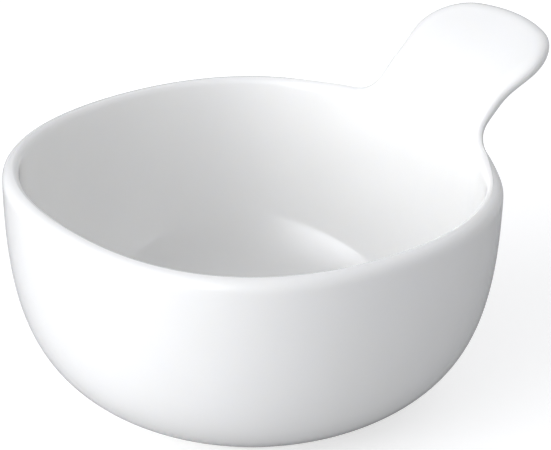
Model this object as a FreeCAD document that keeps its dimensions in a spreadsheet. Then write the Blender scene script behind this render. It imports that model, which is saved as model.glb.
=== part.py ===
import FreeCAD, Part
import math
import os
import Sketcher

# A small white porcelain shaving bowl with a flat tab handle.
# Frame: millimetres, +Z up, origin at the centre of the foot's resting plane,
# the tab handle points along +X.
# The outside form (with its glaze) is built first. The clay underneath is the
# same form set in by the thickness of the glaze.

V = FreeCAD.Vector

doc = FreeCAD.newDocument("shaving_bowl")
sheet = doc.addObject("Spreadsheet::Sheet", "dims")

DIMENSIONS = [
    ("rim_height", 59.8),        # resting plane to the top of the lip
    ("mouth_radius", 60.1),      # mean outside radius under the lip
    ("mouth_oval", 1.2),         # how much shorter the mouth is along the handle
    ("mouth_square", 1.3),       # how far the mouth bulges at its soft corners
    ("lip_thickness", 4.2),
    ("lip_outer_round", 2.7),
    ("lip_inner_round", 1.1),
    ("foot_radius", 31.5),
    ("foot_width", 3.6),
    ("foot_height", 1.5),
    ("foot_round", 0.6),
    ("belly_angle", 20.3),       # slope of the belly where it leaves the foot, degrees
    ("belly_reach", 23.3),       # how far the belly keeps that slope
    ("wall_reach", 36.0),        # how far the outside stays upright under the lip
    ("floor_height", 6.5),       # resting plane to the inside floor
    ("floor_radius", 6.0),       # flat middle of the inside floor
    ("floor_reach", 29.2),       # how far the inside floor stays nearly level
    ("liner_reach", 55.9),       # how far the inside wall stays upright
    ("tab_thickness", 3.6),
    ("tab_root_depth", 7.0),     # how far below the lip the tab starts to turn out
    ("tab_root_bend", 18.0),     # radius of the turn from the wall into the tab
    ("tab_root_turn", 48.0),     # degrees
    ("tab_top_bend", 62.0),      # radius of the long gentle turn along the tab
    ("tab_top_turn", 29.0),      # degrees
    ("tab_side_radius", 95.0),   # plan radius of the mouth where the tab joins it
    ("tab_brim_sweep", 60.0),    # degrees of turned-out brim that the tab is cut from
    ("tab_reach", 86.6),         # bowl axis to the tip of the tab
    ("tab_end_radius", 37.0),    # plan radius of the blunt end
    ("tab_shoulder", 11.0),      # plan radius of the end's two corners
    ("tab_half_width", 21.1),
    ("tab_neck_half", 19.2),
    ("tab_neck_at", 61.0),       # bowl axis to the narrowest place
    ("tab_edge_round", 1.5),
    ("glaze", 0.3),
]
for row, (alias, value) in enumerate(DIMENSIONS, start=1):
    sheet.set("A%d" % row, alias)
    sheet.set("B%d" % row, repr(value))
    sheet.setAlias("B%d" % row, alias)
doc.recompute()

SECTIONS = 7          # level outlines between the foot and the lip
OUTLINE_POINTS = 16   # points in one level outline
CUT_THROUGH = 5.0     # how far a cutting form runs past the face it opens


def dim(alias):
    return float(sheet.get(alias))


def bezier(poles, share):
    """The (radius, height) point at this share of a cubic curve."""
    weights = (
        (1 - share) ** 3,
        3 * (1 - share) ** 2 * share,
        3 * (1 - share) * share ** 2,
        share ** 3,
    )
    return [sum(w * pole[axis] for w, pole in zip(weights, poles)) for axis in (0, 1)]


def belly_poles():
    """Outside profile: slants off the foot and comes up to an upright lip."""
    slope = math.radians(dim("belly_angle"))
    reach = dim("belly_reach")
    lip = dim("rim_height") - dim("lip_outer_round")
    return [
        (dim("foot_radius"), dim("foot_height")),
        (dim("foot_radius") + reach * math.cos(slope), dim("foot_height") + reach * math.sin(slope)),
        (dim("mouth_radius"), lip - dim("wall_reach")),
        (dim("mouth_radius"), lip),
    ]


def liner_poles():
    """Inside profile: a level floor that sweeps up into an upright wall."""
    radius = dim("mouth_radius") - dim("lip_thickness")
    lip = dim("rim_height") - dim("lip_inner_round")
    return [
        (dim("floor_radius"), dim("floor_height")),
        (dim("floor_radius") + dim("floor_reach"), dim("floor_height")),
        (radius, lip - dim("liner_reach")),
        (radius, lip),
    ]


def level_outline(radius, height, growth):
    """A closed level curve: round at the foot, softly squared at the lip."""
    squared = height / dim("rim_height")
    points = []
    for index in range(OUTLINE_POINTS):
        angle = math.pi + 2 * math.pi * index / OUTLINE_POINTS
        bulge = dim("mouth_oval") * math.cos(2 * angle) + dim("mouth_square") * math.cos(4 * angle)
        reach = radius - squared * bulge + growth
        points.append(V(reach * math.cos(angle), reach * math.sin(angle), height))
    curve = Part.BSplineCurve()
    curve.interpolate(Points=points, PeriodicFlag=True)
    return Part.Wire(curve.toShape())


def lofted_form(name, poles, growth, lift, top):
    """A solid through level outlines along a profile, up to the height top."""
    outlines = []
    for index in range(SECTIONS):
        radius, height = bezier(poles, index / (SECTIONS - 1))
        outlines.append(level_outline(radius, height + lift * (index == 0), growth))
    outlines.append(level_outline(poles[-1][0], top, growth))
    form = doc.addObject("Part::Feature", name)
    form.Shape = Part.makeLoft(outlines, True, False)
    return form


def edges_at(shape, height, tolerance=0.01):
    """Numbers of the edges that lie in the level plane at this height."""
    return [
        number
        for number, edge in enumerate(shape.Edges, start=1)
        if abs(edge.BoundBox.ZMin - height) < tolerance and abs(edge.BoundBox.ZMax - height) < tolerance
    ]


def bowl_form(name, inset):
    """The bowl's wall and floor, set in by inset all over except under the foot."""
    top = dim("rim_height") - inset
    outside = lofted_form(name + "_outside", belly_poles(), -inset, 0, top)
    inside = lofted_form(name + "_inside", liner_poles(), inset, -inset, top + CUT_THROUGH)
    shell = doc.addObject("Part::Cut", name + "_shell")
    shell.Base = outside
    shell.Tool = inside
    doc.recompute()
    rounded = doc.addObject("Part::Fillet", name)
    rounded.Base = shell
    rings = edges_at(shell.Shape, top)
    rings.sort(key=lambda number: shell.Shape.Edges[number - 1].Length)
    inner_round = dim("lip_inner_round") - inset
    outer_round = dim("lip_outer_round") - inset
    rounded.Edges = [(rings[0], inner_round, inner_round), (rings[-1], outer_round, outer_round)]
    doc.recompute()
    return rounded


def new_body(name):
    return doc.addObject("PartDesign::Body", name)


def sketch_on(body, plane_role, name):
    """An empty sketch on one of the body's own origin planes."""
    sketch = body.newObject("Sketcher::SketchObject", name)
    plane = next(feature for feature in body.Origin.OriginFeatures if feature.Role == plane_role)
    sketch.AttachmentSupport = [(plane, "")]
    sketch.MapMode = "FlatFace"
    return sketch


def add_arc(sketch, centre, radius, from_degrees, to_degrees):
    circle = Part.Circle(V(centre[0], centre[1], 0), V(0, 0, 1), radius)
    arc = Part.ArcOfCircle(circle, math.radians(from_degrees), math.radians(to_degrees))
    return sketch.addGeometry(arc, False)


def add_line(sketch, start, end):
    return sketch.addGeometry(Part.LineSegment(V(start[0], start[1], 0), V(end[0], end[1], 0)), False)


def bind(sketch, kind, places, value, formula):
    """Add a dimension to the sketch and bind it to the sheet."""
    number = sketch.addConstraint(Sketcher.Constraint(kind, *places, value))
    sketch.setExpression("Constraints[%d]" % number, formula)


START, END, CENTRE = 1, 2, 3


def polar(centre, radius, degrees):
    angle = math.radians(degrees)
    return (centre[0] + radius * math.cos(angle), centre[1] + radius * math.sin(angle))


def tab_flange(name, inset):
    """A curved brim: the mouth's wall turned outwards, revolved about the mouth's side centre."""
    half = dim("tab_thickness") / 2 - inset
    root_x = dim("mouth_radius") - dim("mouth_oval") - dim("mouth_square") - dim("lip_thickness") / 2
    root_z = dim("rim_height") - dim("tab_root_depth")
    root_bend, top_bend = dim("tab_root_bend"), dim("tab_top_bend")
    turned = 180 - dim("tab_root_turn")
    finished = turned - dim("tab_top_turn")
    near = (root_x + root_bend, root_z)
    far = polar(near, root_bend - top_bend, turned)

    body = new_body(name)
    sketch = sketch_on(body, "XZ_Plane", name + "_profile")
    top_root = add_arc(sketch, near, root_bend + half, turned, 180)
    top = add_arc(sketch, far, top_bend + half, finished, turned)
    under_root = add_arc(sketch, near, root_bend - half, turned, 180)
    under = add_arc(sketch, far, top_bend - half, finished, turned)
    tip = add_line(sketch, polar(far, top_bend - half, finished), polar(far, top_bend + half, finished))
    root = add_line(sketch, (root_x - half, root_z), (root_x + half, root_z))
    for first, first_end, second, second_end in (
        (top, END, top_root, START),
        (under, END, under_root, START),
    ):
        sketch.addConstraint(Sketcher.Constraint("Tangent", first, first_end, second, second_end))
    for first, first_end, second, second_end in (
        (top, START, tip, END),
        (under, START, tip, START),
        (top_root, END, root, START),
        (under_root, END, root, END),
        (top_root, CENTRE, under_root, CENTRE),
    ):
        sketch.addConstraint(Sketcher.Constraint("Coincident", first, first_end, second, second_end))
    sketch.addConstraint(Sketcher.Constraint("Horizontal", root))
    sheet_half = "dims.tab_thickness / 2 - %s" % repr(inset)
    sheet_root = "dims.mouth_radius - dims.mouth_oval - dims.mouth_square - dims.lip_thickness / 2"
    bind(sketch, "DistanceX", (top_root, CENTRE), near[0], sheet_root + " + dims.tab_root_bend")
    bind(sketch, "DistanceY", (top_root, CENTRE), near[1], "dims.rim_height - dims.tab_root_depth")
    bind(sketch, "DistanceY", (root, START), root_z, "dims.rim_height - dims.tab_root_depth")
    bind(sketch, "Radius", (top_root,), root_bend + half, "dims.tab_root_bend + " + sheet_half)
    bind(sketch, "Radius", (under_root,), root_bend - half, "dims.tab_root_bend - (%s)" % sheet_half)
    bind(sketch, "Radius", (top,), top_bend + half, "dims.tab_top_bend + " + sheet_half)
    bind(sketch, "Radius", (under,), top_bend - half, "dims.tab_top_bend - (%s)" % sheet_half)
    axis_x = root_x + dim("lip_thickness") / 2 - dim("tab_side_radius")
    axis = add_line(sketch, (axis_x, 0), (axis_x, dim("rim_height")))
    sketch.toggleConstruction(axis)
    sketch.addConstraint(Sketcher.Constraint("Vertical", axis))
    doc.recompute()

    brim = body.newObject("PartDesign::Revolution", name + "_brim")
    brim.Profile = sketch
    brim.ReferenceAxis = (sketch, ["Axis0"])
    brim.Midplane = True
    brim.setExpression("Angle", "dims.tab_brim_sweep")
    doc.recompute()
    return body


def tab_plan(name, inset):
    """A prism with the tab's plan outline: waisted at the neck, bluntly rounded at the end."""
    end_radius = dim("tab_end_radius") - inset
    shoulder = dim("tab_shoulder") - inset
    half_width = dim("tab_half_width") - inset
    neck_half = dim("tab_neck_half") - inset
    neck_x = dim("tab_neck_at")
    end_centre = (dim("tab_reach") - dim("tab_end_radius"), 0)
    offset_y = half_width - shoulder
    offset_x = math.sqrt((end_radius - shoulder) ** 2 - offset_y ** 2)
    widest_x = end_centre[0] + offset_x
    side_step = half_width - neck_half
    side_bend = ((widest_x - neck_x) ** 2 + side_step ** 2) / (4 * side_step)
    side_turn = math.degrees(2 * math.atan2(side_step, widest_x - neck_x))
    meeting = math.degrees(math.atan2(offset_y, offset_x))
    root_x = neck_x - dim("tab_root_bend") / 2

    body = new_body(name)
    sketch = sketch_on(body, "XY_Plane", name + "_outline")
    end = add_arc(sketch, end_centre, end_radius, -meeting, meeting)
    chains = []
    for side in (1, -1):
        centres = (
            (widest_x, side * offset_y),
            (widest_x, side * (half_width - side_bend)),
            (neck_x, side * (neck_half + side_bend)),
        )
        spans = ((meeting, 90), (90, 90 + side_turn), (270, 270 + side_turn))
        radii = (shoulder, side_bend, side_bend)
        arcs = []
        for centre, radius, span in zip(centres, radii, spans):
            low, high = span if side > 0 else (-span[1], -span[0])
            arcs.append(add_arc(sketch, centre, radius, low, high))
        arcs.append(add_line(sketch, (neck_x, side * neck_half), (root_x, side * neck_half)))
        chains.append(arcs)
    closing = add_line(sketch, (root_x, neck_half), (root_x, -neck_half))
    upper, lower = chains
    joints = [
        ("Tangent", end, END, upper[0], START),
        ("Tangent", upper[0], END, upper[1], START),
        ("Tangent", upper[1], END, upper[2], END),
        ("Tangent", upper[2], START, upper[3], START),
        ("Tangent", end, START, lower[0], END),
        ("Tangent", lower[0], START, lower[1], END),
        ("Tangent", lower[1], START, lower[2], START),
        ("Tangent", lower[2], END, lower[3], START),
        ("Coincident", upper[3], END, closing, START),
        ("Coincident", lower[3], END, closing, END),
    ]
    for joint in joints:
        sketch.addConstraint(Sketcher.Constraint(*joint))
    sketch.addConstraint(Sketcher.Constraint("Horizontal", upper[3]))
    sketch.addConstraint(Sketcher.Constraint("Horizontal", lower[3]))
    sketch.addConstraint(Sketcher.Constraint("Vertical", closing))
    doc.recompute()

    prism = body.newObject("PartDesign::Pad", name + "_prism")
    prism.Profile = sketch
    prism.setExpression("Length", "2 * dims.rim_height")
    doc.recompute()
    return body


def tab_form(name, inset):
    """The tab: the turned-out brim inside the plan outline, with its edges rounded."""
    flange = tab_flange(name + "_flange", inset)
    plan = tab_plan(name + "_plan", inset)
    trimmed = doc.addObject("Part::Common", name + "_trimmed")
    trimmed.Base = flange
    trimmed.Tool = plan
    doc.recompute()
    edge_round = dim("tab_edge_round") - inset
    chosen = []
    for number, edge in enumerate(trimmed.Shape.Edges, start=1):
        middle = edge.valueAt((edge.FirstParameter + edge.LastParameter) / 2)
        on_outline = abs(middle.y) > dim("tab_end_radius") / 8
        through_thickness = edge.Length < 1.5 * dim("tab_thickness")
        if on_outline and middle.x > dim("tab_neck_at") and not through_thickness:
            chosen.append((number, edge_round, edge_round))
    rounded = doc.addObject("Part::Fillet", name)
    rounded.Base = trimmed
    rounded.Edges = chosen
    doc.recompute()
    return rounded


def foot_ring(name):
    """The turned ring the bowl rests on, with its two resting edges eased."""
    body = new_body(name)
    sketch = sketch_on(body, "XZ_Plane", name + "_profile")
    inner, outer = dim("foot_radius") - dim("foot_width"), dim("foot_radius")
    height = dim("foot_height")
    corners = [(inner, 0), (outer, 0), (outer, height), (inner, height)]
    sides = [add_line(sketch, corners[at], corners[(at + 1) % 4]) for at in range(4)]
    for at in range(4):
        sketch.addConstraint(Sketcher.Constraint("Coincident", sides[at], END, sides[(at + 1) % 4], START))
    for at, direction in enumerate(("Horizontal", "Vertical", "Horizontal", "Vertical")):
        sketch.addConstraint(Sketcher.Constraint(direction, sides[at]))
    sketch.addConstraint(Sketcher.Constraint("PointOnObject", sides[0], START, -1))
    bind(sketch, "DistanceX", (sides[0], START), inner, "dims.foot_radius - dims.foot_width")
    bind(sketch, "DistanceX", (sides[0], END), outer, "dims.foot_radius")
    bind(sketch, "DistanceY", (sides[1], START, sides[1], END), height, "dims.foot_height")
    doc.recompute()
    ring = body.newObject("PartDesign::Revolution", name + "_ring")
    ring.Profile = sketch
    ring.ReferenceAxis = (sketch, ["V_Axis"])
    ring.Angle = 360
    doc.recompute()
    eased = body.newObject("PartDesign::Fillet", name + "_eased")
    eased.Base = (ring, ["Edge%d" % number for number in edges_at(ring.Shape, 0)])
    eased.setExpression("Radius", "dims.foot_round")
    body.Tip = eased
    doc.recompute()
    return body


def base_glaze(name):
    """The disc of glaze under the floor, inside the foot ring."""
    disc = doc.addObject("Part::Cylinder", name)
    disc.setExpression("Radius", "dims.foot_radius - dims.foot_width")
    disc.setExpression("Height", "dims.glaze")
    disc.setExpression("Placement.Base.z", "dims.foot_height - dims.glaze")
    return disc


def below_rim(name):
    """Everything under the plane of the lip, as a block."""
    block = doc.addObject("Part::Box", name)
    block.setExpression("Length", "3 * dims.mouth_radius")
    block.setExpression("Width", "3 * dims.mouth_radius")
    block.setExpression("Height", "dims.rim_height")
    block.setExpression("Placement.Base.x", "-1.5 * dims.mouth_radius")
    block.setExpression("Placement.Base.y", "-1.5 * dims.mouth_radius")
    return block


def boolean(kind, name, base, tool):
    result = doc.addObject(kind, name)
    result.Base = base
    result.Tool = tool
    doc.recompute()
    return result


def build():
    """Every separate piece, by the name of its node."""
    glazed_bowl = bowl_form("glazed_bowl", 0)
    glazed_tab = tab_form("glazed_tab", 0)
    clay_bowl = bowl_form("clay_bowl", dim("glaze"))
    clay_tab = tab_form("clay_tab", dim("glaze"))
    bowl_skin = boolean("Part::Cut", "bowl_skin", glazed_bowl, clay_bowl)
    tab_skin = boolean("Part::Cut", "tab_skin", glazed_tab, clay_tab)
    glaze_coat = doc.addObject("Part::Compound", "glaze_coat")
    glaze_coat.Links = [
        boolean("Part::Cut", "bowl_glaze", bowl_skin, clay_tab),
        boolean("Part::Cut", "tab_glaze", tab_skin, below_rim("rim_block")),
    ]
    return {
        "bowl": clay_bowl,
        "tab_handle": boolean("Part::Cut", "luted_tab", clay_tab, clay_bowl),
        "foot_ring": foot_ring("turned_foot"),
        "glaze_coat": glaze_coat,
        "base_glaze": base_glaze("base_disc"),
    }


def check(pieces):
    """Stop before anything is written if an object failed or a piece isn't sound."""
    doc.recompute()
    for item in doc.Objects:
        if "Invalid" in item.State or "Error" in item.State:
            raise RuntimeError("%s failed to build" % item.Name)
    for node, piece in pieces.items():
        shape = piece.Shape
        if shape.isNull() or not shape.isValid() or not shape.Solids:
            raise RuntimeError("%s is not a sound solid" % node)


pieces = build()
for node, piece in pieces.items():
    piece.Label = node
check(pieces)
os.makedirs("parts", exist_ok=True)
for node, piece in pieces.items():
    piece.Shape.exportStep("parts/%s.step" % node)
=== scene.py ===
import math
import bmesh
import bpy
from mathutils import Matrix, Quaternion, Vector


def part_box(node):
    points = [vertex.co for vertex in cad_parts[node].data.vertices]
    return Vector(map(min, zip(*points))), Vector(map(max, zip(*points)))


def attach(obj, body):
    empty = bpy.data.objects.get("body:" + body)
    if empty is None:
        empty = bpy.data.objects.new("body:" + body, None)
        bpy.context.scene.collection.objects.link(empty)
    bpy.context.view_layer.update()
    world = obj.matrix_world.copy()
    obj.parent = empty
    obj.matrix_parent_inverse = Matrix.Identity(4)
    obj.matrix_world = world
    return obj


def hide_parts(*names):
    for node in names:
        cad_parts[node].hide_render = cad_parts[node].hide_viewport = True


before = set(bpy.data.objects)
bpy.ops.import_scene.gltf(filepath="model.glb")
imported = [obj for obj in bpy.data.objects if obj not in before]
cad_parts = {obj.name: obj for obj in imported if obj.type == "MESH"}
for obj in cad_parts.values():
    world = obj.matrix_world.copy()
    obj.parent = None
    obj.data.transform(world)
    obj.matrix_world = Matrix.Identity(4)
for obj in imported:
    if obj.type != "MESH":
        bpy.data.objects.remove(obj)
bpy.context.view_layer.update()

# A glazed porcelain shaving bowl. The whole glazed surface is one continuous skin:
# base, belly, lip, tab, inside wall and floor run into each other without a seam, as
# fired glaze does. The turned foot and the glaze inside it are pieces of their own.
# Lengths are in metres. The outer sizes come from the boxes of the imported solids.

MM = 0.001

skin_high = Vector(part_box("glaze_coat")[1])
bowl_high = Vector(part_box("bowl")[1])
ring_high = Vector(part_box("foot_ring")[1])
GLAZE = 0.3 * MM

# The bowl
RIM_Z = bowl_high.z + GLAZE                 # top of the lip
FOOT_Z = ring_high.z                        # where the belly leaves the foot
FOOT_RADIUS = ring_high.x
MOUTH_HALF = skin_high.y                    # half the mouth's width, across the handle
SQUARE = 1.3 * MM                           # how far the mouth's soft corners stand out from round
OVAL = 1.2 * MM                             # wider by this each side, and shorter by it each end
MOUTH_RADIUS = MOUTH_HALF - OVAL + SQUARE   # of the round that those two depart from
ROUND_WITHIN = 30.0 * MM                    # the soft corners fade out inside this radius
WALL = 4.2 * MM                             # thickness of the wall under the lip
HALF_WALL = WALL / 2
MIDDLE = MOUTH_RADIUS - HALF_WALL           # radius of the middle of the wall
FLOOR_Z = 6.4 * MM
LIP_OUTER = 2.9 * MM                        # rounding of the lip's outer edge
LIP_INNER = 1.5 * MM                        # rounding of its inner edge
LIP_START = RIM_Z - 2.7 * MM                # the outside profile is upright from here up
BELLY_SLOPE = math.radians(20.3)            # how the belly leaves the foot
BELLY_REACH = 23.3 * MM                     # how strongly each profile holds its end directions
WALL_REACH = 36.0 * MM
FLOOR_REACH = 38.0 * MM
LINER_REACH = 59.0 * MM

# The tab, in the flat sheet it would be before it is bent up from the rim:
# "across" runs sideways, "along" runs outwards from the level of the lip
TAB_LENGTH = 35.7 * MM
TAB_HALF = 21.2 * MM
NECK_HALF = 19.7 * MM
NECK_FILLET = 5.7 * MM                      # concave corner between the lip and the neck
NECK_END = 12.0 * MM                        # where the tab starts to widen again
SHOULDER = 11.5 * MM
TIP_BEND = 56.0 * MM                        # radius of the blunt end
TAB_EDGE = 2.05 * MM                        # rounding of the tab's edges
TAB_SPREAD = 1.8                            # how much wider than deep the tab's top rounding is
LIP_SPREAD = 0.4                            # what the lip's outer rounding gains in width by the tab
LIP_FADE = 9.0 * MM                         # the lip's rounding turns into the tab's over this
EDGE_BAND = 4.2 * MM                        # the strip along every edge that holds its rounding
FLARE_FADE = math.radians(30)               # how far round the lip the wide rounding dies out

# The bend of the tab: the wall leans out below the lip, and the tab turns out further
LEAN = math.radians(37.4)
LEAN_FROM = -16.0 * MM
LEAN_LENGTH = 29.0 * MM
TURN = math.radians(28.8)
TURN_FROM = -6.5 * MM
TURN_LENGTH = 38.5 * MM
BENT_HALF = 21.0 * MM                       # the sheet is fully bent this far each side
UNBENT_AFTER = 16.0 * MM                    # and plain wall this much further out
BEND_STEP = 0.25 * MM
BEND_PAST = 2.0 * MM                        # the centre line runs on past the tip

# How finely things are cut
FLARE_STEPS = 10
NECK_STEPS = 3
SIDE_STEPS = 12
SHOULDER_STEPS = 14
TIP_STEPS = 9
RIM_COLUMNS = 118                           # lip columns from one flare round to the other
FLARE_WEIGHT = 0.45                         # width of the column beside a flare, next to a full one
WEIGHT_GAIN = 0.06                          # and what each column further on adds to that
WALL_ROWS = 18
WALL_LOW = -24.0 * MM                       # how far below the lip the bent sheet starts
LIP_ARC_STEPS = 6
BELLY_ROWS = 22
LINER_ROWS = 30
BASE_ROWS = 8
HALVINGS = 40                               # enough to find a height on a curve
ANGLE_ROUNDS = 25                           # enough to settle an angle


def smooth(x):
    """0 to 1 with level ends."""
    x = min(max(x, 0.0), 1.0)
    return x * x * x * (x * (6 * x - 15) + 10)


def bezier(poles, share):
    """A point of the cubic curve with these four (radius, height) poles."""
    weights = (
        (1 - share) ** 3,
        3 * (1 - share) ** 2 * share,
        3 * (1 - share) * share ** 2,
        share ** 3,
    )
    return [sum(w * pole[axis] for w, pole in zip(weights, poles)) for axis in (0, 1)]


def height_share(poles, height):
    """The share of a rising curve at which it reaches a height."""
    low, high = 0.0, 1.0
    for _ in range(HALVINGS):
        middle = (low + high) / 2
        if bezier(poles, middle)[1] < height:
            low = middle
        else:
            high = middle
    return (low + high) / 2


# ------------------------------------------------------------------ profiles

BELLY = [
    (FOOT_RADIUS, FOOT_Z),
    (FOOT_RADIUS + BELLY_REACH * math.cos(BELLY_SLOPE), FOOT_Z + BELLY_REACH * math.sin(BELLY_SLOPE)),
    (MOUTH_RADIUS, LIP_START - WALL_REACH),
    (MOUTH_RADIUS, LIP_START),
]
LINER = [
    (0.0, FLOOR_Z),
    (FLOOR_REACH, FLOOR_Z),
    (MOUTH_RADIUS - WALL, RIM_Z - LINER_REACH),
    (MOUTH_RADIUS - WALL, RIM_Z),
]


def belly_radius(height):
    if height >= LIP_START:
        return MOUTH_RADIUS
    return bezier(BELLY, height_share(BELLY, height))[0]


def liner_radius(height):
    if height >= RIM_Z:
        return MOUTH_RADIUS - WALL
    return bezier(LINER, height_share(LINER, height))[0]


def bulge(angle):
    """How far the mouth falls short of its round at this angle from the tab."""
    return OVAL * math.cos(2 * angle) + SQUARE * math.cos(4 * angle)


def angle_across(across):
    """The angle at which the middle of the wall is this far across."""
    angle = 0.0
    for _ in range(ANGLE_ROUNDS):
        angle = math.asin(max(-1.0, min(1.0, across / (MIDDLE - bulge(angle)))))
    return angle


# ------------------------------------------------------------------ the bend of the tab


def bend_angle(along):
    """How far the sheet has turned outwards from upright."""
    lean = LEAN * smooth((along - LEAN_FROM) / LEAN_LENGTH)
    return lean + TURN * smooth((along - TURN_FROM) / TURN_LENGTH)


def bend_line():
    """Centre line of the bent sheet, in equal steps from below the lip to past the tip."""
    places = [(0.0, LEAN_FROM)]
    along = LEAN_FROM
    while along < TAB_LENGTH + BEND_PAST:
        turn = bend_angle(along + BEND_STEP / 2)
        out, up = places[-1]
        places.append((out + BEND_STEP * math.sin(turn), up + BEND_STEP * math.cos(turn)))
        along += BEND_STEP
    return places


BEND = bend_line()


def bend_place(along):
    """(outwards, upwards) of the centre line at this distance along the sheet."""
    if along <= LEAN_FROM:
        return 0.0, along
    at = (along - LEAN_FROM) / BEND_STEP
    index = min(int(at), len(BEND) - 2)
    share = at - index
    return tuple(BEND[index][axis] * (1 - share) + BEND[index + 1][axis] * share for axis in (0, 1))


def sheet_point(angle, along, off):
    """A point of the wall or tab: off is its distance outwards from the middle of the wall."""
    height = RIM_Z + along
    reach = MIDDLE - bulge(angle) * min(height / RIM_Z, 1.0)
    x, y = reach * math.cos(angle), reach * math.sin(angle)
    bent = 1 - smooth((abs(y) - BENT_HALF) / UNBENT_AFTER) if x > 0 else 0.0
    side = Vector((math.cos(angle) * (1 - bent) + bent, math.sin(angle) * (1 - bent)))
    side.normalize()
    straight = Vector((x + off * side.x, y + off * side.y, height))
    if bent == 0.0:
        return straight
    out, up = bend_place(along)
    turn = bend_angle(along)
    bent_out = out + off * math.cos(turn)
    bent_up = up - off * math.sin(turn)
    return straight + bent * Vector((bent_out - off, 0.0, bent_up - along))


# ------------------------------------------------------------------ the edge of the sheet

FLARE_CENTRE = (NECK_HALF + NECK_FILLET, NECK_FILLET)
SHOULDER_X = TAB_HALF - SHOULDER
WIDEST = TAB_LENGTH - TIP_BEND + math.sqrt((TIP_BEND - SHOULDER) ** 2 - SHOULDER_X ** 2)
SHOULDER_TURN = math.atan2(WIDEST - TAB_LENGTH + TIP_BEND, SHOULDER_X)


def round_edge(centre, radius, angle, facing):
    """An edge point on an arc, with the direction that leaves the clay."""
    way = (math.cos(angle), math.sin(angle))
    place = (centre[0] + radius * way[0], centre[1] + radius * way[1])
    return place, (facing * way[0], facing * way[1])


def half_tab_edge():
    """The tab's +Y edge from the lip to the middle of the tip: flare, neck, side, shoulder, tip."""
    points = []
    for step in range(FLARE_STEPS + 1):
        angle = math.radians(270 - 90 * step / FLARE_STEPS)
        points.append(round_edge(FLARE_CENTRE, NECK_FILLET, angle, -1))
    for step in range(1, NECK_STEPS + 1):
        along = NECK_FILLET + (NECK_END - NECK_FILLET) * step / NECK_STEPS
        points.append(((NECK_HALF, along), (1.0, 0.0)))
    span = WIDEST - NECK_END
    widening = TAB_HALF - NECK_HALF
    for step in range(1, SIDE_STEPS + 1):
        share = step / SIDE_STEPS
        across = NECK_HALF + widening * (1 - math.cos(math.pi * share)) / 2
        slope = widening * math.pi * math.sin(math.pi * share) / 2 / span
        length = math.hypot(1, slope)
        points.append(((across, NECK_END + span * share), (1 / length, -slope / length)))
    for step in range(1, SHOULDER_STEPS + 1):
        angle = SHOULDER_TURN * step / SHOULDER_STEPS
        points.append(round_edge((SHOULDER_X, WIDEST), SHOULDER, angle, 1))
    for step in range(1, TIP_STEPS + 1):
        angle = SHOULDER_TURN + (math.pi / 2 - SHOULDER_TURN) * step / TIP_STEPS
        points.append(round_edge((0.0, TAB_LENGTH - TIP_BEND), TIP_BEND, angle, 1))
    return points


def inward(edge, distance):
    """The (across, along) place this far inside an edge point."""
    (across, along), (out_x, out_y) = edge
    return across - distance * out_x, along - distance * out_y


def mirrored(edge):
    """The same edge point on the tab's other half."""
    (across, along), (out_x, out_y) = edge
    return (-across, along), (-out_x, out_y)


NEAR_EDGE = half_tab_edge()
FAR_EDGE = [mirrored(edge) for edge in NEAR_EDGE]
LOW_CORNER = FLARE_STEPS // 2                       # the edge points at the corners of the tab's grid
HIGH_CORNER = FLARE_STEPS + NECK_STEPS + SIDE_STEPS + SHOULDER_STEPS // 2
TAB_COLUMNS = len(NEAR_EDGE) - 1 - HIGH_CORNER      # each side of the middle
FLARE_ANGLE = angle_across(inward(NEAR_EDGE[0], EDGE_BAND)[0])


def rim_angles():
    """Angles of the plain lip's columns from one flare round to the other, closest by the flares."""
    weights = [
        min(1.0, FLARE_WEIGHT + WEIGHT_GAIN * min(step, RIM_COLUMNS - 1 - step))
        for step in range(RIM_COLUMNS)
    ]
    sweep = 2 * math.pi - 2 * FLARE_ANGLE
    total = sum(weights)
    angles = []
    at = FLARE_ANGLE
    for weight in weights:
        at += sweep * weight / total
        angles.append(at)
    return angles[:-1]


class EdgePlace:
    """One place on the sheet's edge: on the tab if it has an edge point, else on the lip."""

    def __init__(self, edge=None, angle=None):
        self.edge = edge
        self.angle = angle
        self.along = 0.0 if edge is None else edge[0][1]

    def at(self, distance):
        """The (angle, along) this far in from the edge."""
        if self.edge is None:
            return self.angle, -distance
        across, along = inward(self.edge, distance)
        return angle_across(across), along

    def near_tab(self):
        """1 on the tab and its flares, fading to 0 along the lip."""
        if self.edge is not None:
            return 1.0
        away = abs(math.remainder(self.angle, 2 * math.pi)) - FLARE_ANGLE
        return 1 - smooth(away / FLARE_FADE)

    def roundings(self):
        """Depth and width of the outer rounding, then of the inner one."""
        on_tab = smooth(self.along / LIP_FADE)
        near = self.near_tab()
        outer = LIP_OUTER + (TAB_EDGE - LIP_OUTER) * on_tab
        inner = LIP_INNER + (TAB_EDGE - LIP_INNER) * near
        outer_wide = outer * (1 + LIP_SPREAD * near * (1 - on_tab))
        inner_wide = inner * (1 + (TAB_SPREAD - 1) * near)
        return outer, outer_wide, inner, inner_wide


def edge_section(place):
    """The rounded edge between the outer and inner faces, as points."""
    outer, outer_wide, inner, inner_wide = place.roundings()
    turns = [math.pi / 2 * step / LIP_ARC_STEPS for step in range(LIP_ARC_STEPS + 1)]
    section = [(outer_wide * (1 - math.sin(a)), HALF_WALL - outer + outer * math.cos(a)) for a in turns]
    section += [(inner_wide * (1 - math.cos(a)), inner - HALF_WALL - inner * math.sin(a)) for a in turns]
    points = []
    for distance, off in section:
        angle, along = place.at(distance)
        points.append(sheet_point(angle, along, off))
    return points


# ------------------------------------------------------------------ the glazed skin


def side_off(side, along):
    """How far the outer (1) or inner (-1) face is from the middle of the wall."""
    radius = belly_radius(RIM_Z + along) if side > 0 else liner_radius(RIM_Z + along)
    return radius - MIDDLE


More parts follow.
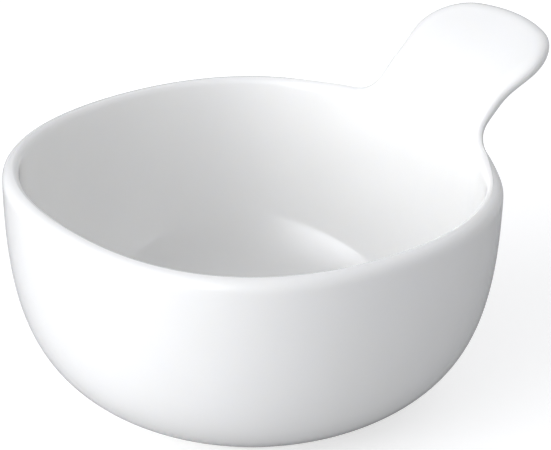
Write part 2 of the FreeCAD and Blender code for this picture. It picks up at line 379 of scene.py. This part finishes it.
def tab_root():
    """(across, along) of the places where the tab's columns meet the wall's."""
    corner_across, corner_along = inward(NEAR_EDGE[LOW_CORNER], EDGE_BAND)
    columns = range(2 * TAB_COLUMNS + 1)
    return [(corner_across * (column / TAB_COLUMNS - 1), corner_along) for column in columns]


def coons(bottom, top, left, right):
    """The grid between four edges of points, rows from the bottom up."""
    rows, columns = len(left) - 1, len(bottom) - 1
    grid = []
    for row in range(rows + 1):
        v = row / rows
        line = []
        for column in range(columns + 1):
            u = column / columns
            line.append(tuple(
                (1 - v) * bottom[column][axis] + v * top[column][axis]
                + (1 - u) * left[row][axis] + u * right[row][axis]
                - (1 - u) * (1 - v) * bottom[0][axis] - u * (1 - v) * bottom[-1][axis]
                - (1 - u) * v * top[0][axis] - u * v * top[-1][axis]
                for axis in (0, 1)
            ))
        grid.append(line)
    return grid


def tab_grid():
    """(across, along) of the tab's face inside its edge band, in rows from the root up."""
    far = [inward(edge, EDGE_BAND) for edge in FAR_EDGE]
    near = [inward(edge, EDGE_BAND) for edge in NEAR_EDGE]
    tip = far[HIGH_CORNER:] + near[-2:HIGH_CORNER - 1:-1]
    return coons(tab_root(), tip, far[LOW_CORNER:HIGH_CORNER + 1], near[LOW_CORNER:HIGH_CORNER + 1])


def wall_columns(rim, far_half, near_half):
    """Each wall column as (angle, along of its top), in order round the mouth."""
    columns = [place.at(EDGE_BAND) for place in rim + far_half[:LOW_CORNER + 1]]
    columns += [(angle_across(across), along) for across, along in tab_root()[1:-1]]
    columns += [place.at(EDGE_BAND) for place in near_half[LOW_CORNER::-1]]
    return columns


def add_wall(mesh, columns, side):
    """One face of the wall, as columns of vertices from the bottom up."""
    wall = []
    for angle, top in columns:
        column = []
        for row in range(WALL_ROWS + 1):
            along = WALL_LOW + (top - WALL_LOW) * row / WALL_ROWS
            column.append(mesh.verts.new(sheet_point(angle, along, side_off(side, along))))
        wall.append(column)
    return wall


def add_tab(mesh, root, side):
    """One face of the tab, as rows of vertices; the lowest row is the wall's own."""
    tab = [root]
    for line in tab_grid()[1:]:
        points = [sheet_point(angle_across(across), along, side * HALF_WALL) for across, along in line]
        tab.append([mesh.verts.new(point) for point in points])
    return tab


def border_of(tops, tab, tab_first):
    """The border vertices of one face, in order round the mouth and the tab."""
    border = tops[:tab_first + 1]
    border += [line[0] for line in tab[1:]]
    border += tab[-1][1:]
    border += [line[-1] for line in tab[-2:0:-1]]
    return border + tops[tab_first + 2 * TAB_COLUMNS:]


def join_strips(mesh, strips, closed=True):
    """Quads between neighbouring strips of vertices, all the way round if closed."""
    following = strips[1:] + strips[:1] if closed else strips[1:]
    for strip, beside in zip(strips, following):
        for step in range(len(strip) - 1):
            mesh.faces.new((strip[step], beside[step], beside[step + 1], strip[step + 1]))


def round_point(angle, radius, height):
    """A point of the belly or the liner below the sheet."""
    squared = height / RIM_Z * smooth(radius / ROUND_WITHIN)
    reach = radius - bulge(angle) * squared
    return Vector((reach * math.cos(angle), reach * math.sin(angle), height))


def close_below(mesh, ring, columns, rows):
    """Rings of vertices down a profile, closed at the middle by a single vertex."""
    for radius, height in rows[:-1]:
        lower = [mesh.verts.new(round_point(angle, radius, height)) for angle, _ in columns]
        join_strips(mesh, [list(pair) for pair in zip(ring, lower)])
        ring = lower
    middle = mesh.verts.new((0.0, 0.0, rows[-1][1]))
    for number, vertex in enumerate(ring):
        mesh.faces.new((vertex, ring[(number + 1) % len(ring)], middle))


def profile_rows(poles, count):
    """(radius, height) down a profile from where the sheet starts to its first pole."""
    start = height_share(poles, RIM_Z + WALL_LOW)
    return [bezier(poles, start * (1 - step / count)) for step in range(1, count + 1)]


def base_rows():
    """(radius, height) in under the base from the foot to the middle."""
    return [(FOOT_RADIUS * (1 - step / BASE_ROWS), FOOT_Z) for step in range(1, BASE_ROWS + 1)]


def build_skin():
    """The glazed surface as one closed mesh."""
    mesh = bmesh.new()
    near_half = [EdgePlace(edge=edge) for edge in NEAR_EDGE]
    far_half = [EdgePlace(edge=edge) for edge in FAR_EDGE]
    rim = [EdgePlace(angle=angle) for angle in rim_angles()]
    columns = wall_columns(rim, far_half, near_half)
    tab_first = len(rim) + LOW_CORNER
    tab_width = 2 * TAB_COLUMNS + 1

    lows = []
    borders = []
    for side in (1, -1):
        wall = add_wall(mesh, columns, side)
        tops = [column[-1] for column in wall]
        tab = add_tab(mesh, tops[tab_first:tab_first + tab_width], side)
        join_strips(mesh, wall)
        join_strips(mesh, tab, closed=False)
        lows.append([column[0] for column in wall])
        borders.append(border_of(tops, tab, tab_first))

    strips = []
    for place, outer, inner in zip(rim + far_half + near_half[-2::-1], *borders):
        middle = [mesh.verts.new(point) for point in edge_section(place)]
        strips.append([outer] + middle + [inner])
    join_strips(mesh, strips)

    close_below(mesh, lows[0], columns, profile_rows(BELLY, BELLY_ROWS) + base_rows())
    close_below(mesh, lows[1], columns, profile_rows(LINER, LINER_ROWS))
    bmesh.ops.recalc_face_normals(mesh, faces=mesh.faces)
    return mesh


# ------------------------------------------------------------------ the foot and the base glaze

FOOT_WIDTH = 3.6 * MM
RING_INNER = FOOT_RADIUS - FOOT_WIDTH
FOOT_INSET = 0.15 * MM                      # the bare foot is a hair inside the glaze above it
FOOT_EASE = 0.6 * MM                        # rounding of the foot's resting edges
EASE_STEPS = 6
OVERLAP = 0.1 * MM                          # how far both run into the clay above them
BASE_EYE = 0.4 * MM                         # the base glaze is a ring round this tiny eye
POOL_WIDTH = 0.9 * MM                       # glaze gathers in the corner against the foot
POOL_DEPTH = 0.45 * MM
POOL_STEPS = 8
RING_STEPS = 160


def to_object(mesh, name, material):
    """A smooth-shaded object in the scene, from a mesh that is used up."""
    data = bpy.data.meshes.new(name)
    mesh.to_mesh(data)
    mesh.free()
    for face in data.polygons:
        face.use_smooth = True
    data.materials.append(material)
    piece = bpy.data.objects.new(name, data)
    bpy.context.scene.collection.objects.link(piece)
    return piece


def revolved(profile, name, material):
    """A closed ring with this (radius, height) profile."""
    mesh = bmesh.new()
    strips = []
    for step in range(RING_STEPS):
        angle = 2 * math.pi * step / RING_STEPS
        strip = [mesh.verts.new((r * math.cos(angle), r * math.sin(angle), z)) for r, z in profile]
        strips.append(strip + [strip[0]])
    join_strips(mesh, strips)
    bmesh.ops.recalc_face_normals(mesh, faces=mesh.faces)
    return to_object(mesh, name, material)


def foot_profile():
    """Section of the turned foot, with eased resting edges."""
    outer = FOOT_RADIUS - FOOT_INSET
    profile = [(RING_INNER, FOOT_Z + OVERLAP), (outer, FOOT_Z + OVERLAP)]
    for centre, first in ((outer - FOOT_EASE, 0), (RING_INNER + FOOT_EASE, -90)):
        for step in range(EASE_STEPS + 1):
            turn = math.radians(first - 90 * step / EASE_STEPS)
            profile.append((centre + FOOT_EASE * math.cos(turn), FOOT_EASE + FOOT_EASE * math.sin(turn)))
    return profile


def base_profile():
    """Section of the glaze under the base: level, and thicker in the corner against the foot."""
    under = FOOT_Z - GLAZE
    profile = [(BASE_EYE, FOOT_Z + OVERLAP), (BASE_EYE, under)]
    for step in range(POOL_STEPS + 1):
        turn = math.radians(90 * step / POOL_STEPS)
        radius = RING_INNER - POOL_WIDTH * (1 - math.sin(turn))
        profile.append((radius, under - POOL_DEPTH * (1 - math.cos(turn))))
    profile.append((RING_INNER, FOOT_Z + OVERLAP))
    return profile


# ------------------------------------------------------------------ materials


def node_material(name):
    """A new material with its nodes, links and main shader."""
    material = bpy.data.materials.new(name)
    material.use_nodes = True
    nodes = material.node_tree.nodes
    return material, nodes, material.node_tree.links, nodes["Principled BSDF"]


def noise_node(nodes, links, coordinates, scale, detail):
    noise = nodes.new("ShaderNodeTexNoise")
    noise.inputs["Scale"].default_value = scale
    noise.inputs["Detail"].default_value = detail
    links.new(coordinates, noise.inputs["Vector"])
    return noise.outputs["Fac"]


def ramp_node(nodes, links, source, low, high):
    """A colour ramp between (place, colour) pairs, fed by a source."""
    ramp = nodes.new("ShaderNodeValToRGB")
    for element, (place, colour) in zip(ramp.color_ramp.elements, (low, high)):
        element.position = place
        element.color = (*colour, 1.0)
    links.new(source, ramp.inputs["Fac"])
    return ramp.outputs["Color"]


def range_node(nodes, links, source, low, high):
    """A source from 0 to 1, spread from low to high."""
    spread = nodes.new("ShaderNodeMapRange")
    spread.inputs["To Min"].default_value = low
    spread.inputs["To Max"].default_value = high
    links.new(source, spread.inputs["Value"])
    return spread.outputs["Result"]


def math_node(nodes, links, operation, first, second):
    """A sum on a source and either another source or a number."""
    worked = nodes.new("ShaderNodeMath")
    worked.operation = operation
    links.new(first, worked.inputs[0])
    if isinstance(second, bpy.types.NodeSocket):
        links.new(second, worked.inputs[1])
    else:
        worked.inputs[1].default_value = second
    return worked.outputs["Value"]


def bump_node(nodes, links, source, strength, depth):
    bump = nodes.new("ShaderNodeBump")
    bump.inputs["Strength"].default_value = strength
    bump.inputs["Distance"].default_value = depth
    links.new(source, bump.inputs["Height"])
    return bump.outputs["Normal"]


def porcelain_glaze():
    """White porcelain under a clear gloss glaze: soft depth, faint clouding and waviness."""
    material, nodes, links, shader = node_material("porcelain_glaze")
    place = nodes.new("ShaderNodeTexCoord").outputs["Object"]
    cloud = noise_node(nodes, links, place, scale=28.0, detail=3.0)
    tint = ramp_node(nodes, links, cloud, (0.35, (0.918, 0.915, 0.898)), (0.65, (0.934, 0.931, 0.917)))
    links.new(tint, shader.inputs["Base Color"])
    gloss = noise_node(nodes, links, place, scale=90.0, detail=4.0)
    links.new(range_node(nodes, links, gloss, 0.10, 0.16), shader.inputs["Roughness"])
    peel = noise_node(nodes, links, place, scale=160.0, detail=2.0)
    waviness = bump_node(nodes, links, peel, strength=0.05, depth=0.2 * MM)
    links.new(waviness, shader.inputs["Normal"])
    shader.inputs["IOR"].default_value = 1.5
    shader.inputs["Subsurface Weight"].default_value = 0.25
    shader.inputs["Subsurface Radius"].default_value = (1.0, 0.95, 0.85)
    shader.inputs["Subsurface Scale"].default_value = 1.5 * MM
    shader.inputs["Coat Weight"].default_value = 0.6
    shader.inputs["Coat Roughness"].default_value = 0.05
    return material


def bare_porcelain():
    """The turned foot: matt, slightly warmer, with fine grain and turning marks."""
    material, nodes, links, shader = node_material("bare_porcelain")
    place = nodes.new("ShaderNodeTexCoord").outputs["Object"]
    grain = noise_node(nodes, links, place, scale=900.0, detail=6.0)
    tint = ramp_node(nodes, links, grain, (0.3, (0.74, 0.72, 0.67)), (0.7, (0.86, 0.845, 0.81)))
    links.new(tint, shader.inputs["Base Color"])
    rings = nodes.new("ShaderNodeTexWave")
    rings.wave_type = "RINGS"
    rings.rings_direction = "Z"
    rings.inputs["Scale"].default_value = 700.0
    rings.inputs["Distortion"].default_value = 0.6
    links.new(place, rings.inputs["Vector"])
    marks = math_node(nodes, links, "ADD", rings.outputs["Fac"], grain)
    links.new(bump_node(nodes, links, marks, strength=0.25, depth=0.1 * MM), shader.inputs["Normal"])
    links.new(range_node(nodes, links, grain, 0.62, 0.82), shader.inputs["Roughness"])
    return material


# ------------------------------------------------------------------ pieces


def build_pieces():
    """The three visible pieces, each in place of the solids that it stands for."""
    glaze = porcelain_glaze()
    bare = bare_porcelain()
    skin = to_object(build_skin(), "glazed_porcelain", glaze)
    finer = skin.modifiers.new("fine", "SUBSURF")
    finer.levels = 1
    finer.render_levels = 1
    foot = revolved(foot_profile(), "turned_foot", bare)
    base = revolved(base_profile(), "base_glaze_pool", glaze)
    for piece, slot, solids in (
        (skin, "glaze", ("bowl", "tab_handle", "glaze_coat")),
        (foot, "bare_foot", ("foot_ring",)),
        (base, "glaze", ("base_glaze",)),
    ):
        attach(piece, "root")
        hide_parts(*solids)


# ------------------------------------------------------------------ stage, light, camera

FLOOR_HALF = 3.0
FLOOR_CELLS = 8
FLOOR_DROP = 0.2 * MM       # keeps the paper clear of the foot
FLOOR_BOUNCE = 0.60         # how much of the light the paper throws back at the bowl
BOUNCE_CHANGE = 0.02        # how much that varies from place to place
FLOOR_GLOW = 0.60           # what lifts it to clean white for the camera

# Azimuths and elevations say where a light or the camera stands, in degrees:
# azimuth 0 is towards -Y, and 90 is towards +X
ROOM_LIGHT = 0.35
LIGHT_COLOUR = (0.955, 0.966, 1.0, 1.0)
KEY_LIGHT = 5.1
KEY_AZIMUTH = -93.0         # the left of the picture
KEY_ELEVATION = 12.0
KEY_SPREAD = 6.0
FILL_LIGHT = 0.52
FILL_AZIMUTH = 97.0         # high behind the right of the picture
FILL_ELEVATION = 42.0
FILL_SPREAD = 3.0
VIEW_AZIMUTH = -38.06
VIEW_ELEVATION = 25.46
VIEW_ROLL = -0.51
VIEW_DISTANCE = 0.770
AIM = Vector((0.0083, 0.0011, 0.0422))
LENS = 203.4                # the camera's own units, millimetres
SENSOR = 36.0
VIEW_DEPTH = 20.0


def grey(value):
    return (value, value, value)


def floor_material():
    """Matt pale paper: clean white where the camera looks at it, less bright as a bounce card."""
    material, nodes, links, shader = node_material("studio_floor")
    place = nodes.new("ShaderNodeTexCoord").outputs["Object"]
    cloud = noise_node(nodes, links, place, scale=3.0, detail=2.0)
    low, high = grey(FLOOR_BOUNCE), grey(FLOOR_BOUNCE + BOUNCE_CHANGE)
    links.new(ramp_node(nodes, links, cloud, (0.4, low), (0.6, high)), shader.inputs["Base Color"])
    shader.inputs["Roughness"].default_value = 0.9
    shader.inputs["Specular IOR Level"].default_value = 0.0
    shader.inputs["Emission Color"].default_value = (1.0, 1.0, 1.0, 1.0)
    seen = nodes.new("ShaderNodeLightPath").outputs["Is Camera Ray"]
    glow = math_node(nodes, links, "MULTIPLY", seen, FLOOR_GLOW)
    links.new(glow, shader.inputs["Emission Strength"])
    return material


def build_floor():
    mesh = bmesh.new()
    bmesh.ops.create_grid(mesh, x_segments=FLOOR_CELLS, y_segments=FLOOR_CELLS, size=FLOOR_HALF)
    floor = to_object(mesh, "studio_floor", floor_material())
    floor.location.z = -FLOOR_DROP


def direction(azimuth, elevation):
    """From the object towards a light or the camera."""
    azimuth, elevation = math.radians(azimuth), math.radians(elevation)
    return Vector((
        math.sin(azimuth) * math.cos(elevation),
        -math.cos(azimuth) * math.cos(elevation),
        math.sin(elevation),
    ))


def directional_glow(nodes, links, look, towards, spread, strength):
    """Light that fades with the angle from one direction; a higher spread number is a smaller patch."""
    facing = nodes.new("ShaderNodeVectorMath")
    facing.operation = "DOT_PRODUCT"
    facing.inputs[1].default_value = towards
    links.new(look, facing.inputs[0])
    front = math_node(nodes, links, "MAXIMUM", facing.outputs["Value"], 0.0)
    faded = math_node(nodes, links, "POWER", front, spread)
    return math_node(nodes, links, "MULTIPLY", faded, strength)


def build_world():
    """A pale room with one big soft light low on the left and a weaker one high at the back."""
    world = bpy.data.worlds.new("studio")
    world.use_nodes = True
    nodes, links = world.node_tree.nodes, world.node_tree.links
    look = nodes.new("ShaderNodeTexCoord").outputs["Generated"]
    key_way = direction(KEY_AZIMUTH, KEY_ELEVATION)
    key = directional_glow(nodes, links, look, key_way, KEY_SPREAD, KEY_LIGHT)
    fill_way = direction(FILL_AZIMUTH, FILL_ELEVATION)
    fill = directional_glow(nodes, links, look, fill_way, FILL_SPREAD, FILL_LIGHT)
    both = math_node(nodes, links, "ADD", key, fill)
    backdrop = nodes["Background"]
    backdrop.inputs["Color"].default_value = LIGHT_COLOUR
    links.new(math_node(nodes, links, "ADD", both, ROOM_LIGHT), backdrop.inputs["Strength"])
    bpy.context.scene.world = world


def build_camera():
    lens = bpy.data.cameras.new("camera")
    lens.sensor_width = SENSOR
    lens.lens = LENS
    lens.clip_end = VIEW_DEPTH
    camera = bpy.data.objects.new("camera", lens)
    bpy.context.scene.collection.objects.link(camera)
    towards = direction(VIEW_AZIMUTH, VIEW_ELEVATION)
    level = (-towards).to_track_quat("-Z", "Y")
    roll = Quaternion((0, 0, 1), math.radians(-VIEW_ROLL))
    camera.location = AIM + VIEW_DISTANCE * towards
    camera.rotation_euler = (level @ roll).to_euler()
    bpy.context.scene.camera = camera


build_pieces()
build_floor()
build_world()
build_camera()
bpy.context.scene.view_settings.view_transform = "Standard"
